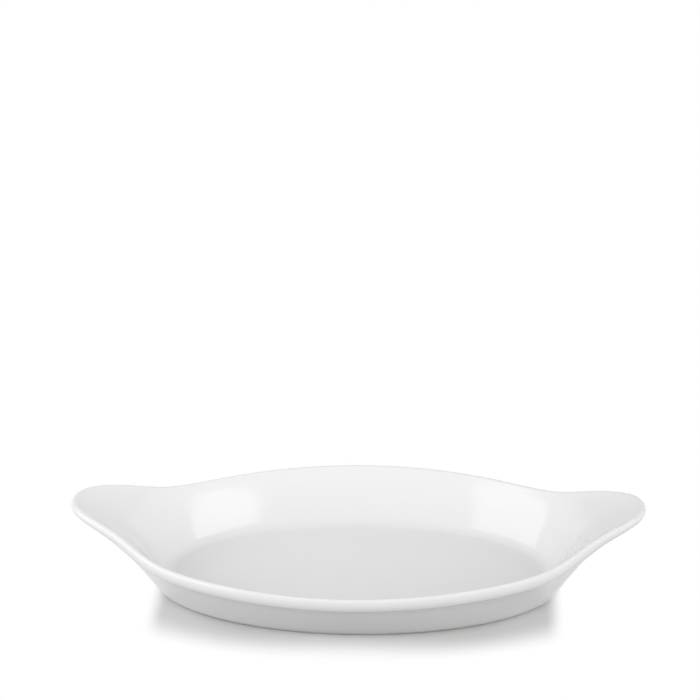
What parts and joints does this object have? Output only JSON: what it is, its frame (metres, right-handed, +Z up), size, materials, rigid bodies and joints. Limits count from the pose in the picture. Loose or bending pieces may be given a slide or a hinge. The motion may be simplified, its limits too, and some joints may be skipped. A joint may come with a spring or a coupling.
{
  "type": "oval eared gratin dish",
  "caption": "Shallow oval gratin dish with flared walls, a rolled rim that rises into a broad ear at each end, and a bare foot ring under a glossy glaze.",
  "frame": {"origin": "on the table plane, under the middle of the dish", "axes": "+X along the dish through both ears, +Y across it, +Z up"},
  "size_m": [0.28, 0.152, 0.0433],
  "materials": {
    "fired_clay": "matt, fine-grained, ground smooth on the foot ring",
    "white_glaze": "glossy opaque white",
    "underside_white_glaze": "glossy opaque white, thinner, with a few pinholes"
  },
  "bodies": {
    "root": {"clay_body": "fired_clay", "glaze_coat": "white_glaze", "underside_glaze": "underside_white_glaze"}
  },
  "joints": []
}
